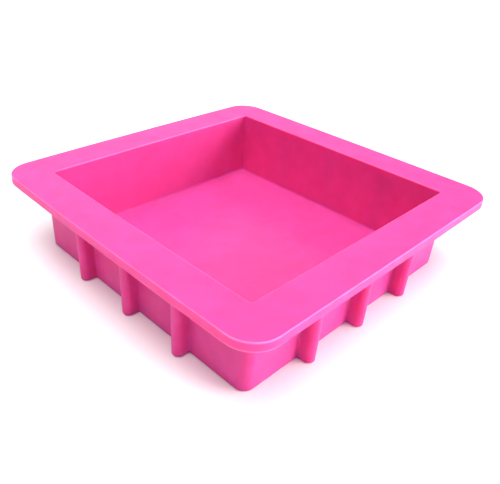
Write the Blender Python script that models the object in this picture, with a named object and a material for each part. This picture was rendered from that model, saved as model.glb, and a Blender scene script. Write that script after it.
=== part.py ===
"""Silicone slab mould for soap: a square tray with a wide flat rim and upright ribs under it.

The mould is one moulding of silicone rubber.  The tray (floor, drafted walls and rim) is one
closed body, and each upright rib is a body of its own, a hair's breadth off the wall and the
rim that it grows from.

Frame: metres, +Z up, the origin in the middle of the underside, the front wall towards -Y.
"""
import math

import bmesh
import bpy
from mathutils import Matrix, Vector

# --- Driving dimensions -----------------------------------------------------------------------
CAVITY_LENGTH = 0.200           # along X, at the brim
CAVITY_WIDTH = 0.200            # along Y, at the brim
CAVITY_CORNER_RADIUS = 0.002    # upright corners of the cavity
HEIGHT = 0.060                  # underside to the top of the rim
WALL = 0.006
FLOOR = 0.006
DRAFT_ANGLE = math.radians(1.0)     # both faces of the walls lean outwards, so that soap lets go
WALL_CORNER_RADIUS = 0.0075     # upright corners of the walls, outside

RIM_WIDTH = 0.027               # cavity edge to the rim's outer edge
RIM_THICKNESS = 0.0065
RIM_CORNER_RADIUS = 0.019

RIBS_PER_WALL = 3
RIB_PITCH = 0.0505
RIB_SHIFT = 0.0043              # how far each row stands off its wall's middle, towards +X or -Y
RIB_THICKNESS = 0.0083
RIB_REACH = 0.0095              # how far a rib stands out from its wall
RIB_FOOT_RADIUS = 0.0016        # rounding of the rib's lower edge
PIECE_GAP = 0.0003              # between a rib and the tray

# --- Fineness of round stretches ----------------------------------------------------------------
CORNER_STEPS = 6
NOSE_STEPS = 8
FOOT_STEPS = 3

# --- Colour ---------------------------------------------------------------------------------------
SILICONE_COLOUR = (0.831, 0.100, 0.491, 1.0)
SILICONE_ROUGHNESS = 0.38

# The side that each wall is on, with the angle about +Z that turns +X to face out of it.
WALL_ANGLES = {"front": -math.pi / 2, "right": 0.0, "back": math.pi / 2, "left": math.pi}


def clear_scene():
    """Remove every object of the scene."""
    for thing in list(bpy.data.objects):
        bpy.data.objects.remove(thing, do_unlink=True)


def silicone(name):
    """A pink silicone rubber, for one piece."""
    material = bpy.data.materials.new(name)
    material.use_nodes = True
    shader = material.node_tree.nodes["Principled BSDF"]
    shader.inputs["Base Color"].default_value = SILICONE_COLOUR
    shader.inputs["Roughness"].default_value = SILICONE_ROUGHNESS
    shader.inputs["Metallic"].default_value = 0.0
    return material


def add_piece(name, bm):
    """Turn a bmesh into a named object with its own material, and return it."""
    bmesh.ops.recalc_face_normals(bm, faces=bm.faces)
    mesh = bpy.data.meshes.new(name)
    bm.to_mesh(mesh)
    bm.free()
    mesh.materials.append(silicone(name + "_silicone"))
    mesh.shade_smooth()
    mesh.set_sharp_from_angle(angle=math.radians(30.0))
    piece = bpy.data.objects.new(name, mesh)
    bpy.context.collection.objects.link(piece)
    return piece


def lean(height):
    """How far a drafted face moves outwards over a height."""
    return height * math.tan(DRAFT_ANGLE)


def rounded_ring(bm, half_x, half_y, radius, height):
    """The points of a level rectangle with round corners, anticlockwise as seen from above."""
    verts = []
    for corner, (side_x, side_y) in enumerate(((1, 1), (-1, 1), (-1, -1), (1, -1))):
        centre_x = side_x * (half_x - radius)
        centre_y = side_y * (half_y - radius)
        for step in range(CORNER_STEPS + 1):
            angle = (corner + step / CORNER_STEPS) * math.pi / 2
            verts.append(bm.verts.new((centre_x + radius * math.cos(angle),
                                       centre_y + radius * math.sin(angle), height)))
    return verts


def skin(bm, lower, upper):
    """A band of faces between two rings of as many points."""
    for index in range(len(lower)):
        bm.faces.new((lower[index - 1], lower[index], upper[index], upper[index - 1]))


def make_tray():
    """Floor, drafted walls and flat rim, as one skin from the underside round to the cavity floor."""
    cavity_x = CAVITY_LENGTH / 2
    cavity_y = CAVITY_WIDTH / 2
    rim_underside = HEIGHT - RIM_THICKNESS
    foot = WALL - lean(HEIGHT)
    shoulder = WALL - lean(RIM_THICKNESS)
    cavity_floor = -lean(HEIGHT - FLOOR)
    profile = (     # distance out from the cavity's edge, corner radius, height
        (foot, WALL_CORNER_RADIUS, 0.0),
        (shoulder, WALL_CORNER_RADIUS, rim_underside),
        (RIM_WIDTH, RIM_CORNER_RADIUS, rim_underside),
        (RIM_WIDTH, RIM_CORNER_RADIUS, HEIGHT),
        (0.0, CAVITY_CORNER_RADIUS, HEIGHT),
        (cavity_floor, CAVITY_CORNER_RADIUS, FLOOR),
    )
    bm = bmesh.new()
    rings = [rounded_ring(bm, cavity_x + out, cavity_y + out, radius, height)
             for out, radius, height in profile]
    for lower, upper in zip(rings, rings[1:]):
        skin(bm, lower, upper)
    bm.faces.new(rings[0])
    bm.faces.new(rings[-1])
    return add_piece("mould_tray", bm)


def rib_mesh():
    """One rib, standing on Z = 0 with its back at the wall's foot and its round nose towards +X."""
    nose_radius = RIB_THICKNESS / 2
    nose_centre = RIB_REACH - nose_radius
    height = HEIGHT - RIM_THICKNESS - PIECE_GAP
    bm = bmesh.new()
    verts = [bm.verts.new((PIECE_GAP, nose_radius, 0.0)), bm.verts.new((PIECE_GAP, -nose_radius, 0.0))]
    for step in range(NOSE_STEPS + 1):
        angle = (step / NOSE_STEPS - 0.5) * math.pi
        verts.append(bm.verts.new((nose_centre + nose_radius * math.cos(angle),
                                   nose_radius * math.sin(angle), 0.0)))
    grown = bmesh.ops.extrude_face_region(bm, geom=[bm.faces.new(verts)], use_keep_orig=True)["geom"]
    top = [item for item in grown if isinstance(item, bmesh.types.BMVert)]
    bmesh.ops.translate(bm, verts=top, vec=(lean(height), 0.0, height))
    rounded = [edge for edge in bm.edges
               if all(vert.co.z < PIECE_GAP for vert in edge.verts)
               and any(vert.co.x > 2 * PIECE_GAP for vert in edge.verts)]
    bmesh.ops.bevel(bm, geom=rounded, offset=min(RIB_FOOT_RADIUS, 0.8 * nose_radius),
                    segments=FOOT_STEPS, affect='EDGES', profile=0.5, material=-1)
    return bm


def make_ribs():
    """The ribs of the four walls, numbered anticlockwise as seen from above; opposite rows face."""
    foot = WALL - lean(HEIGHT)
    for side, angle in WALL_ANGLES.items():
        reach = CAVITY_WIDTH / 2 if side in ("front", "back") else CAVITY_LENGTH / 2
        turn = Matrix.Rotation(angle, 4, 'Z')
        row_middle = (turn @ Vector((0.0, 1.0, 0.0))).dot(Vector((RIB_SHIFT, -RIB_SHIFT, 0.0)))
        for index in range(RIBS_PER_WALL):
            along = row_middle + (index - (RIBS_PER_WALL - 1) / 2) * RIB_PITCH
            rib = add_piece(f"rib_{side}_{index + 1}", rib_mesh())
            rib.matrix_world = turn @ Matrix.Translation(Vector((reach + foot, along, 0.0)))


def main():
    """Model the whole mould."""
    clear_scene()
    make_tray()
    make_ribs()


main()
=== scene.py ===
"""A square soap slab mould in pink silicone rubber, laid out as an add-on, run as a script."""

import math

import bmesh
import bpy
from bpy.props import FloatProperty, FloatVectorProperty, IntProperty, PointerProperty
from bpy.types import Operator, Panel, PropertyGroup
from mathutils import Matrix, Vector


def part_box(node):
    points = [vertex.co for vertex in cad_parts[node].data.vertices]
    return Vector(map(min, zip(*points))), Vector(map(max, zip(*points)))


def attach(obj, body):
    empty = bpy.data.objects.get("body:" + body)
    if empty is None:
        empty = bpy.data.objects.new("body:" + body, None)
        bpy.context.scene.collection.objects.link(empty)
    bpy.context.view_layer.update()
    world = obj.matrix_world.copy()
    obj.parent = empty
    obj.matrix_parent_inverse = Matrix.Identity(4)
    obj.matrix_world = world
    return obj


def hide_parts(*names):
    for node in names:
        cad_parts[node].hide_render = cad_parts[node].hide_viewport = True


bl_info = {
    "name": "Soap slab mould",
    "version": (1, 0, 0),
    "blender": (4, 5, 0),
    "location": "3D View > Sidebar > Soap mould",
    "description": "Models a ribbed silicone slab mould, its finish and its stage",
    "category": "Add Mesh",
}

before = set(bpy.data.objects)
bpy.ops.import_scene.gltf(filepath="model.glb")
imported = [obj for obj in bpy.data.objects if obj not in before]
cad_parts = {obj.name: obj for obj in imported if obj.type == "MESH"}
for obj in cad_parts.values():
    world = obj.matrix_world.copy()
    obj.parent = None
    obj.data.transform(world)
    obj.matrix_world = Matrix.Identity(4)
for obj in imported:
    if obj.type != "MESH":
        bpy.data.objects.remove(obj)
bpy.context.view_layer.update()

TRAY_LOW, TRAY_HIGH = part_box("mould_tray")
RIB_LOW, RIB_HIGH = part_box("rib_front_2")
NEXT_RIB_LOW, NEXT_RIB_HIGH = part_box("rib_front_3")

MM = 0.001
QUARTER = math.radians(90)

# how much of the bow each side of the rim takes: front, right, back, left
RIM_BOW = (1.5, 0.2, 0.9, 1.4)

# how many steps each curve and each flat stretch is made in
ROOT_STEPS = 4
NOSE_STEPS = 12
CORNER_STEPS = 10
FOOT_STEPS = 5
EDGE_STEPS = 4
WALL_STEPS = 6
RIM_STEPS = 5

# narrow strips beside the roundings, which keep the faces next to them flat
STRIP = 1.0 * MM
FACE_STRIP = 0.7 * MM
FILLET_STRIP = 0.15 * MM
RIB_STRIP = 3 * MM
BRIM_STRIP = 3 * MM
FLOOR_STRIP = 2 * MM

# rows of points between the roundings
WALL_HEIGHTS = (6 * MM, 18 * MM, 32 * MM)
CAVITY_DEPTHS = (18 * MM, 36 * MM)
UNDER_RIM_INSET = 8 * MM
FLOOR_INSET = 8 * MM
FLOOR_CORNER = 3 * MM

# how far each finish reaches past the edge where it ends
FINISH_MARGIN = 0.2 * MM

# the stage's round floor, and how far it lies under the mould so that their faces stay apart
STAGE_RADIUS = 6
STAGE_DROP = 0.2 * MM
# each light's name, its bearing and height round the mould, and its width, in degrees
LAMPS = (("overhead", -60, 75, 50), ("key", 40, 12, 50), ("back", 150, 45, 70))

SENSOR_WIDTH = 36
CAMERA_PLACE = (0.25028, -0.27371, 0.24040)
CAMERA_SHIFT = (0.048, -0.0172)
# the camera's right, up and backward directions
CAMERA_AXES = (
    (0.692056, 0.720314, 0.046967),
    (-0.402642, 0.331205, 0.853336),
    (0.599114, -0.609468, 0.519241),
)


# ---------------------------------------------------------------- settings


def linear(hex_colour):
    """An sRGB hex colour as linear red, green and blue."""
    parts = [int(hex_colour[i : i + 2], 16) / 255 for i in (1, 3, 5)]
    return tuple(
        c / 12.92 if c <= 0.04045 else ((c + 0.055) / 1.055) ** 2.4 for c in parts
    )


class MouldSizes(PropertyGroup):
    """Sizes of the moulded silicone, taken from the fixed frame where it has them."""

    side: FloatProperty(
        name="Side",
        description="Outside of the square rim",
        default=TRAY_HIGH[0] - TRAY_LOW[0],
        unit="LENGTH",
    )
    height: FloatProperty(
        name="Height",
        description="From the underside to the top of the rim",
        default=TRAY_HIGH[2] - TRAY_LOW[2],
        unit="LENGTH",
    )
    rim_thickness: FloatProperty(
        name="Rim thickness",
        description="Depth of the rim's outer face",
        default=6.5 * MM,
        unit="LENGTH",
    )
    rim_corner: FloatProperty(
        name="Rim corner radius",
        description="Radius of the rim's corners seen from above",
        default=19 * MM,
        unit="LENGTH",
    )
    cavity: FloatProperty(
        name="Cavity side",
        description="Inside of the square cavity at its brim",
        default=200 * MM,
        unit="LENGTH",
    )
    cavity_corner: FloatProperty(
        name="Cavity corner radius",
        description="Radius of the cavity's upright corners",
        default=2 * MM,
        unit="LENGTH",
    )
    floor: FloatProperty(
        name="Floor thickness",
        description="Silicone under the soap",
        default=6 * MM,
        unit="LENGTH",
    )
    wall_half: FloatProperty(
        name="Wall at the foot",
        description="From the middle of the mould to the foot of a wall",
        default=104.95 * MM,
        unit="LENGTH",
    )
    wall_corner: FloatProperty(
        name="Wall corner radius",
        description="Radius of the upright outer corners",
        default=7.5 * MM,
        unit="LENGTH",
    )
    draft: FloatProperty(
        name="Draft",
        description="Lean of the walls that lets the tool open",
        default=math.radians(1),
        subtype="ANGLE",
    )
    rib_thickness: FloatProperty(
        name="Rib thickness",
        description="Across one rib",
        default=RIB_HIGH[0] - RIB_LOW[0],
        unit="LENGTH",
    )
    rib_pitch: FloatProperty(
        name="Rib pitch",
        description="From the middle of one rib to the middle of the next",
        default=(NEXT_RIB_LOW[0] + NEXT_RIB_HIGH[0] - RIB_LOW[0] - RIB_HIGH[0]) / 2,
        unit="LENGTH",
    )
    rib_shift: FloatProperty(
        name="Rib shift",
        description="How far a row of ribs stands off its wall's middle, towards +X or -Y",
        default=(RIB_LOW[0] + RIB_HIGH[0]) / 2,
        unit="LENGTH",
    )
    rib_reach: FloatProperty(
        name="Rib reach",
        description="How far a rib stands out of the wall",
        default=9.5 * MM,
        unit="LENGTH",
    )
    rib_root: FloatProperty(
        name="Rib root radius",
        description="Fillet between a rib and the wall",
        default=1.1 * MM,
        unit="LENGTH",
    )
    rib_toe: FloatProperty(
        name="Rib toe radius",
        description="Rounding under a rib's nose",
        default=1.6 * MM,
        unit="LENGTH",
    )
    foot_edge: FloatProperty(
        name="Foot edge radius",
        description="Rounding where the walls meet the underside",
        default=1.2 * MM,
        unit="LENGTH",
    )
    rim_root: FloatProperty(
        name="Rim root radius",
        description="Fillet between the walls and the rim's underside",
        default=0.9 * MM,
        unit="LENGTH",
    )
    rim_edge: FloatProperty(
        name="Rim edge radius",
        description="Rounding of the rim's outer edges",
        default=0.7 * MM,
        unit="LENGTH",
    )
    brim_edge: FloatProperty(
        name="Brim edge radius",
        description="Rounding where the rim turns down into the cavity",
        default=0.8 * MM,
        unit="LENGTH",
    )
    floor_fillet: FloatProperty(
        name="Floor fillet",
        description="Fillet between the cavity's walls and floor",
        default=1.4 * MM,
        unit="LENGTH",
    )
    bow: FloatProperty(
        name="Bow",
        description="How far the soft rim's corners pull in from a straight side",
        default=0.9 * MM,
        unit="LENGTH",
    )
    ribs: IntProperty(
        name="Ribs", description="Ribs on each wall", default=3, min=1, max=5
    )


class SiliconeLook(PropertyGroup):
    """Colour and finish of the silicone."""

    pink: FloatVectorProperty(
        name="Pink",
        description="Colour where the pigment is even",
        subtype="COLOR",
        size=3,
        default=linear("#DE499B"),
        min=0,
        max=1,
    )
    deep_pink: FloatVectorProperty(
        name="Deep pink",
        description="Colour where the pigment gathered as the rubber flowed",
        subtype="COLOR",
        size=3,
        default=linear("#D84492"),
        min=0,
        max=1,
    )
    # painted highlight: the paler pink that the material paints along the rim's crisp edges
    edge_highlight_pink: FloatVectorProperty(
        name="Edge pink",
        description="Colour of a thin crisp edge",
        subtype="COLOR",
        size=3,
        default=linear("#FA96D4"),
        min=0,
        max=1,
    )
    roughness: FloatProperty(
        name="Roughness",
        description="Satin finish that the tool's fine texture leaves",
        default=0.40,
        subtype="FACTOR",
        min=0,
        max=1,
    )
    core_roughness: FloatProperty(
        name="Core roughness",
        description="Smoother finish that the polished core leaves in the cavity",
        default=0.30,
        subtype="FACTOR",
        min=0,
        max=1,
    )
    grain: FloatProperty(
        name="Grain",
        description="Spacing of the tool's texture, drawn coarse enough to show",
        default=0.7 * MM,
        unit="LENGTH",
    )
    grain_depth: FloatProperty(
        name="Grain depth",
        description="Height of the tool's texture",
        default=0.02 * MM,
        unit="LENGTH",
    )
    ripple: FloatProperty(
        name="Ripple",
        description="Spacing of the soft unevenness of cured rubber",
        default=32 * MM,
        unit="LENGTH",
    )
    ripple_depth: FloatProperty(
        name="Ripple depth",
        description="Height of the soft unevenness",
        default=0.25 * MM,
        unit="LENGTH",
    )
    mottle: FloatProperty(
        name="Mottle",
        description="Spacing of the pigment's faint clouds",
        default=14 * MM,
        unit="LENGTH",
    )


class StageSettings(PropertyGroup):
    """Floor, light and camera."""

    focal: FloatProperty(
        name="Focal length",
        description="In millimetres, on a 36 mm sensor",
        default=40.727,
    )
    sky: FloatProperty(
        name="Sky", description="Strength of the even studio light", default=0.12
    )
    overhead: FloatProperty(
        name="Overhead", description="Strength of the large soft light above", default=3.50
    )
    key: FloatProperty(
        name="Key", description="Strength of the low light at the right", default=5.20
    )
    back: FloatProperty(
        name="Back", description="Strength of the light behind the left side", default=1.00
    )


# ---------------------------------------------------------------- helpers


def node(tree, kind, links=None, **settings):
    """Adds a node, sets its properties and sockets, and links other nodes' outputs into it."""
    made = tree.nodes.new(kind)
    for name, value in settings.items():
        if hasattr(made, name):
            setattr(made, name, value)
        else:
            made.inputs[name.replace("_", " ")].default_value = value
    for name, output in (links or {}).items():
        tree.links.new(output, made.inputs[name])
    return made


def steps(count):
    """Fractions from just after 0 up to 1."""
    return [(i + 1) / count for i in range(count)]


# ---------------------------------------------------------------- plan of the mould


class Station:
    """One point of the plan, on its side's own axes: along the wall, and out from the middle.

    base and spread are its places along the wall and along the rim. share says how far it is
    drawn towards the corner, sign says which corner, and turn is its angle round that corner.
    swell is how far a rib carries it out of the wall, facing is the outline's normal there,
    and toe is the radius under it.
    """

    def __init__(
        self, base, spread, toe, share=0.0, sign=1, turn=0.0, swell=0.0, facing=None
    ):
        self.base, self.spread, self.toe = base, spread, toe
        self.share, self.sign, self.turn, self.swell = share, sign, turn, swell
        self.facing = facing or (math.sin(turn), math.cos(turn))

    def on(self, half, radius, ribbed):
        """Its place on a rounded square of that half side and corner radius."""
        base = self.base if ribbed else self.spread
        reach = self.sign * (half - radius)
        along = base + self.share * (reach - base) + radius * math.sin(self.turn)
        out = half - radius + radius * math.cos(self.turn)
        return along, out + (self.swell if ribbed else 0.0)


def rib_stations(s, centre):
    """The outline once round a rib: root fillet, side, half-round nose, side, root fillet."""
    half, root = s.rib_thickness / 2, s.rib_root
    path = []
    for i in range(ROOT_STEPS + 1):
        a = QUARTER * i / ROOT_STEPS
        along, out = -half - root + root * math.sin(a), root - root * math.cos(a)
        path.append((along, out, (-math.sin(a), math.cos(a))))
    for i in range(NOSE_STEPS + 1):
        b = math.pi * i / NOSE_STEPS
        along, out = -half * math.cos(b), s.rib_reach - half + half * math.sin(b)
        path.append((along, out, (-math.cos(b), math.sin(b))))
    for along, out, (normal_along, normal_out) in reversed(path[: ROOT_STEPS + 1]):
        path.append((-along, out, (-normal_along, normal_out)))
    widest = half + root + RIB_STRIP
    stations = []
    for i, (along, out, facing) in enumerate(path):
        spread = centre - widest + 2 * widest * i / (len(path) - 1)
        grown = min(1.0, out / (s.rib_reach - half))
        toe = s.foot_edge + (s.rib_toe - s.foot_edge) * grown
        stations.append(Station(centre + along, spread, toe, swell=out, facing=facing))
    return stations


def side_stations(s, towards):
    """Stations along one wall and round the corner at its end.

    towards is 1 or -1: the way along the wall in which its ribs stand off the middle.
    """
    centres = [
        s.rib_pitch * (i - (s.ribs - 1) / 2) + towards * s.rib_shift for i in range(s.ribs)
    ]
    reach = s.rib_thickness / 2 + s.rib_root
    stations = []
    first = centres[0] - reach
    for i in range(WALL_STEPS):
        share = 1 - i / WALL_STEPS
        stations.append(Station(first, first - RIB_STRIP, s.foot_edge, share=share, sign=-1))
    for centre in centres:
        stations += rib_stations(s, centre)
        if centre != centres[-1]:
            start, gap = centre + reach, s.rib_pitch - 2 * reach
            for i in range(1, WALL_STEPS):
                at = start + gap * i / WALL_STEPS
                above = start + RIB_STRIP + (gap - 2 * RIB_STRIP) * i / WALL_STEPS
                stations.append(Station(at, above, s.foot_edge))
    last = centres[-1] + reach
    for share in steps(WALL_STEPS):
        stations.append(Station(last, last + RIB_STRIP, s.foot_edge, share=share))
    for i in range(1, CORNER_STEPS):
        turn = QUARTER * i / CORNER_STEPS
        stations.append(Station(0, 0, s.foot_edge, share=1.0, turn=turn))
    return stations


def bowed(s, point):
    """Draws a point in with the soft rim: not at all at the foot, most at the rim's corners."""
    x, y, z = point
    lift = s.bow * z / s.height
    front, right, back, left = (lift * share for share in RIM_BOW)
    half = s.side / 2
    pull_y = (front if y < 0 else -back) * (x / half) ** 2 * abs(y) / half
    pull_x = (left if x < 0 else -right) * (y / half) ** 2 * abs(x) / half
    return Vector((x + pull_x, y + pull_y, z))


def mould_rings(s):
    """Rings of points from the underside, up the ribbed walls, over the rim, to the floor."""
    sides = [side_stations(s, towards) for towards in (1, -1, -1, 1)]
    under = s.height - s.rim_thickness
    rim_half, cavity_half = s.side / 2, s.cavity / 2
    slope = math.tan(s.draft)

    def ring(half, radius, height, outset=0.0, ribbed=False, toe=None):
        points = []
        for quarter in range(4):
            turn = Matrix.Rotation(QUARTER * quarter, 3, "Z")
            for st in sides[quarter]:
                along, out = st.on(half, radius, ribbed)
                push, rise = outset, height
                if toe is not None:
                    push, rise = -st.toe * (1 - math.sin(toe)), st.toe * (1 - math.cos(toe))
                along += push * st.facing[0] if ribbed else push * math.sin(st.turn)
                out += push * st.facing[1] if ribbed else push * math.cos(st.turn)
                points.append(bowed(s, turn @ Vector((along, -out, rise))))
        return points

    def wall(height, outset=0.0, toe=None):
        return ring(s.wall_half + slope * height, s.wall_corner, height, outset, True, toe)

    def rim(inset, height):
        return ring(rim_half, s.rim_corner, height, -inset)

    def pocket(grown, height):
        half = cavity_half - slope * (s.height - height)
        return ring(half, s.cavity_corner, height, grown)

    bend = [QUARTER * i / EDGE_STEPS for i in range(EDGE_STEPS + 1)]

    # the foot, the ribbed walls and the fillet under the rim
    rings = [wall(0, toe=QUARTER * i / FOOT_STEPS) for i in range(FOOT_STEPS + 1)]
    root = s.rim_root
    for height in (*WALL_HEIGHTS, under - root - RIB_STRIP, under - root):
        rings.append(wall(height))
    for a in bend[1:]:
        rings.append(wall(under - root + root * math.sin(a), root * (1 - math.cos(a))))
    rings.append(wall(under, root + FILLET_STRIP))

    # the rim's underside and its outer face between two rounded edges
    edge = s.rim_edge
    rings.append(rim(UNDER_RIM_INSET, under))
    rings.append(rim(edge + STRIP, under))
    for a in bend:
        rings.append(rim(edge * (1 - math.sin(a)), under + edge * (1 - math.cos(a))))
    for height in (under + edge + FACE_STRIP, s.height - edge - FACE_STRIP):
        rings.append(rim(0, height))
    for a in bend:
        rings.append(rim(edge * (1 - math.cos(a)), s.height - edge + edge * math.sin(a)))

    # the rim's flat top, whose corners tighten towards the cavity
    brim = s.brim_edge
    rings.append(rim(edge + STRIP, s.height))
    flat = rim_half - cavity_half - edge - brim - 2 * STRIP
    inner, outer = s.cavity_corner + brim + STRIP, s.rim_corner - edge - STRIP
    for share in steps(RIM_STEPS)[:-1]:
        half = rim_half - edge - STRIP - share * flat
        rings.append(ring(half, outer + share * (inner - outer), s.height))

    # the brim, the cavity's walls, and the fillet down to its floor
    rings.append(pocket(brim + STRIP, s.height))
    for a in bend:
        rings.append(pocket(brim * (1 - math.sin(a)), s.height - brim * (1 - math.cos(a))))
    soft = s.floor_fillet
    low = s.floor + soft
    rings.append(pocket(0, s.height - BRIM_STRIP))
    for depth in CAVITY_DEPTHS:
        rings.append(pocket(0, s.height - depth))
    rings.append(pocket(0, low + FLOOR_STRIP))
    for a in bend:
        rings.append(pocket(-soft * (1 - math.cos(a)), low - soft * math.sin(a)))
    rings.append(ring(cavity_half - FLOOR_INSET, FLOOR_CORNER, s.floor))
    return rings


def loft(mesh, rings):
    """Caps the first ring, extrudes its edge from ring to ring, and caps the last."""
    row = [mesh.verts.new(p) for p in rings[0]]
    mesh.faces.new(row)
    for ring in rings[1:]:
        edges = [mesh.edges.get((a, b)) for a, b in zip(row, row[1:] + row[:1])]
        made = bmesh.ops.extrude_edge_only(mesh, edges=edges)["geom"]
        fresh = {v for v in made if isinstance(v, bmesh.types.BMVert)}
        row = [
            next(v for e in old.link_edges if (v := e.other_vert(old)) in fresh)
            for old in row
        ]
        for vert, place in zip(row, ring):
            vert.co = place
    mesh.faces.new(row)


# ---------------------------------------------------------------- silicone


def silicone_rubber(s, look):
    """Moulded silicone rubber: translucent and satin, so edges glow a little and hollows turn
    red, with a highlight painted as paler pink along the rim's crisp edges.
    """
    material = bpy.data.materials.new("moulded_silicone_rubber")
    material.use_nodes = True
    tree = material.node_tree
    tree.nodes.clear()
    place = node(tree, "ShaderNodeTexCoord").outputs["Object"]

    # the pigment lies in faint clouds, so that no wall is one flat pink
    clouds = node(
        tree, "ShaderNodeTexNoise", {"Vector": place}, Scale=1 / look.mottle, Detail=3.0
    ).outputs["Fac"]
    spread = node(
        tree, "ShaderNodeMapRange", {"Value": clouds}, From_Min=0.35, From_Max=0.65
    ).outputs["Result"]
    pigment = node(tree, "ShaderNodeMix", {"Factor": spread}, data_type="RGBA")
    pigment.inputs[6].default_value = (*look.pink, 1)
    pigment.inputs[7].default_value = (*look.deep_pink, 1)

    # a paler pink is painted along the rim's crisp edges, where the pointiness is high, as a
    # painted highlight standing for their bright line
    apart = node(tree, "ShaderNodeSeparateXYZ", {"Vector": place})
    crisp = node(
        tree,
        "ShaderNodeMapRange",
        {"Value": node(tree, "ShaderNodeNewGeometry").outputs["Pointiness"]},
        From_Min=0.515,
        From_Max=0.55,
    ).outputs["Result"]
    on_rim = node(tree, "ShaderNodeMath", {0: apart.outputs["Z"]}, operation="GREATER_THAN")
    on_rim.inputs[1].default_value = s.height - s.rim_thickness - FINISH_MARGIN
    painted_highlight = node(
        tree, "ShaderNodeMath", {0: crisp, 1: on_rim.outputs[0]}, operation="MULTIPLY"
    ).outputs[0]
    highlighted = node(
        tree, "ShaderNodeMix", {"Factor": painted_highlight, 6: pigment.outputs[2]}, data_type="RGBA"
    )
    highlighted.inputs[7].default_value = (*look.edge_highlight_pink, 1)

    # the core that shapes the cavity is polished, and the rest of the tool is lightly textured
    across, along = (
        node(tree, "ShaderNodeMath", {0: apart.outputs[axis]}, operation="ABSOLUTE").outputs[0]
        for axis in "XY"
    )
    square = node(tree, "ShaderNodeMath", {0: across, 1: along}, operation="MAXIMUM").outputs[0]
    within = node(tree, "ShaderNodeMath", {0: square}, operation="LESS_THAN")
    within.inputs[1].default_value = s.cavity / 2 + FINISH_MARGIN
    above = node(tree, "ShaderNodeMath", {0: apart.outputs["Z"]}, operation="GREATER_THAN")
    above.inputs[1].default_value = s.floor / 2
    core = node(
        tree,
        "ShaderNodeMath",
        {0: within.outputs[0], 1: above.outputs[0]},
        operation="MULTIPLY",
    ).outputs[0]
    finish = node(
        tree,
        "ShaderNodeMapRange",
        {"Value": core},
        To_Min=look.roughness,
        To_Max=look.core_roughness,
    ).outputs["Result"]
    uneven = node(
        tree, "ShaderNodeMapRange", {"Value": clouds}, To_Min=0.85, To_Max=1.15
    ).outputs["Result"]
    roughness = node(
        tree, "ShaderNodeMath", {0: finish, 1: uneven}, operation="MULTIPLY"
    ).outputs[0]

    # cured rubber is never quite flat, and takes the fine pits of the tool
    waves = node(
        tree, "ShaderNodeTexNoise", {"Vector": place}, Scale=1 / look.ripple, Detail=1.0
    ).outputs["Fac"]
    wavy = node(tree, "ShaderNodeBump", {"Height": waves}, Distance=look.ripple_depth)
    pits = node(
        tree, "ShaderNodeTexNoise", {"Vector": place}, Scale=1 / look.grain, Detail=2.0
    ).outputs["Fac"]
    faint = node(
        tree, "ShaderNodeMapRange", {"Value": core}, To_Min=1.0, To_Max=0.35
    ).outputs["Result"]
    pitted = node(
        tree,
        "ShaderNodeBump",
        {"Height": pits, "Normal": wavy.outputs["Normal"], "Strength": faint},
        Distance=look.grain_depth,
    )

    skin = node(
        tree,
        "ShaderNodeBsdfPrincipled",
        {
            "Base Color": highlighted.outputs[2],
            "Roughness": roughness,
            "Normal": pitted.outputs["Normal"],
        },
        IOR=1.41,
        Specular_IOR_Level=0.22,
        Subsurface_Weight=1.0,
        Subsurface_Radius=(1.0, 0.05, 0.06),
        Subsurface_Scale=9 * MM,
    )
    node(tree, "ShaderNodeOutputMaterial", {"Surface": skin.outputs["BSDF"]})
    return material


# ---------------------------------------------------------------- operators


class MOULD_OT_skin(Operator):
    """Moulds the one-piece silicone skin: walls with their ribs, flat rim and cavity"""

    bl_idname = "soap_mould.skin"
    bl_label = "Silicone mould"

    def execute(self, context):
        scene = context.scene
        mesh = bmesh.new()
        loft(mesh, mould_rings(scene.mould_sizes))
        bmesh.ops.recalc_face_normals(mesh, faces=mesh.faces)
        data = bpy.data.meshes.new("mould_skin")
        mesh.to_mesh(data)
        mesh.free()
        data.shade_smooth()
        piece = bpy.data.objects.new("mould_skin", data)
        scene.collection.objects.link(piece)
        even = piece.modifiers.new("flat faces stay flat", "WEIGHTED_NORMAL")
        even.weight = 80
        data.materials.append(silicone_rubber(scene.mould_sizes, scene.silicone_look))
        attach(piece, "root")
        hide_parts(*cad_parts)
        return {"FINISHED"}


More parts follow.
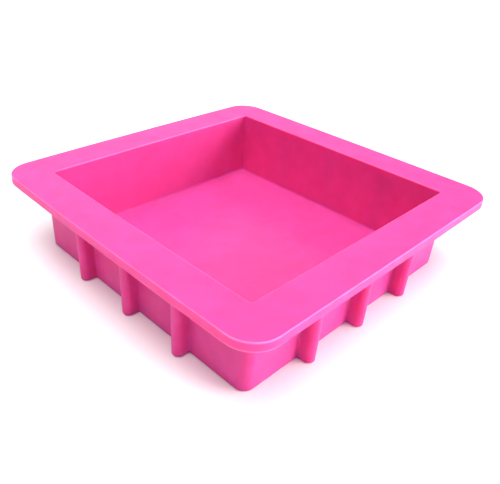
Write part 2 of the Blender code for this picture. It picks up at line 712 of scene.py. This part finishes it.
class MOULD_OT_stage(Operator):
    """Sets up the pale floor, the soft lights and the camera"""

    bl_idname = "soap_mould.stage"
    bl_label = "Stage, lights and camera"

    def execute(self, context):
        scene, settings = context.scene, context.scene.mould_stage
        mesh = bmesh.new()
        bmesh.ops.create_circle(
            mesh,
            cap_ends=True,
            segments=96,
            radius=STAGE_RADIUS,
            matrix=Matrix.Translation((0, 0, -STAGE_DROP)),
        )
        data = bpy.data.meshes.new("floor")
        mesh.to_mesh(data)
        mesh.free()
        floor = bpy.data.objects.new("floor", data)
        scene.collection.objects.link(floor)
        matt = bpy.data.materials.new("matt_white_board")
        matt.use_nodes = True
        board = matt.node_tree.nodes["Principled BSDF"]
        board.inputs["Base Color"].default_value = (0.93, 0.93, 0.93, 1)
        board.inputs["Roughness"].default_value = 0.9
        board.inputs["Specular IOR Level"].default_value = 0.1
        data.materials.append(matt)

        # the paper behind the floor is plain white, and the room around it is dimmer than it
        world = bpy.data.worlds.new("studio")
        world.use_nodes = True
        tree = world.node_tree
        tree.nodes.clear()
        white = (1, 1, 1, 1)
        room = node(tree, "ShaderNodeBackground", Color=white, Strength=settings.sky)
        paper = node(tree, "ShaderNodeBackground", Color=white, Strength=1.0)
        seen = node(tree, "ShaderNodeLightPath").outputs["Is Camera Ray"]
        mixed = node(
            tree, "ShaderNodeMixShader", {0: seen, 1: room.outputs[0], 2: paper.outputs[0]}
        )
        node(tree, "ShaderNodeOutputWorld", {"Surface": mixed.outputs[0]})
        scene.world = world

        for name, bearing, height, width in LAMPS:
            lamp = bpy.data.lights.new(name, "SUN")
            lamp.energy, lamp.angle = getattr(settings, name), math.radians(width)
            light = bpy.data.objects.new(name, lamp)
            b, h = math.radians(bearing), math.radians(height)
            towards = Vector((math.cos(b) * math.cos(h), math.sin(b) * math.cos(h), math.sin(h)))
            light.rotation_euler = towards.to_track_quat("Z", "Y").to_euler()
            scene.collection.objects.link(light)

        lens = bpy.data.cameras.new("camera")
        lens.sensor_fit, lens.sensor_width = "HORIZONTAL", SENSOR_WIDTH
        lens.lens = settings.focal
        lens.shift_x, lens.shift_y = CAMERA_SHIFT
        lens.clip_start, lens.clip_end = 0.01, 50
        camera = bpy.data.objects.new("camera", lens)
        camera.matrix_world = Matrix(CAMERA_AXES).transposed().to_4x4()
        camera.location = CAMERA_PLACE
        scene.collection.objects.link(camera)
        scene.camera = camera

        scene.view_settings.view_transform = "Standard"
        return {"FINISHED"}


class MOULD_PT_panel(Panel):
    """Lists the mould's operators and settings"""

    bl_label = "Soap mould"
    bl_idname = "MOULD_PT_panel"
    bl_space_type = "VIEW_3D"
    bl_region_type = "UI"
    bl_category = "Soap mould"

    def draw(self, context):
        for name in ("mould_sizes", "silicone_look", "mould_stage"):
            group = getattr(context.scene, name)
            box = self.layout.box()
            for prop in group.__annotations__:
                box.prop(group, prop)
        for operator in OPERATORS:
            self.layout.operator(operator.bl_idname)


OPERATORS = (MOULD_OT_skin, MOULD_OT_stage)
CLASSES = (MouldSizes, SiliconeLook, StageSettings, *OPERATORS, MOULD_PT_panel)


def register():
    for cls in CLASSES:
        bpy.utils.register_class(cls)
    bpy.types.Scene.mould_sizes = PointerProperty(type=MouldSizes)
    bpy.types.Scene.silicone_look = PointerProperty(type=SiliconeLook)
    bpy.types.Scene.mould_stage = PointerProperty(type=StageSettings)


def unregister():
    for name in ("mould_sizes", "silicone_look", "mould_stage"):
        delattr(bpy.types.Scene, name)
    for cls in reversed(CLASSES):
        bpy.utils.unregister_class(cls)


def main():
    """Makes every piece in order."""
    register()
    bpy.ops.soap_mould.skin()
    bpy.ops.soap_mould.stage()


if __name__ == "__main__":
    main()
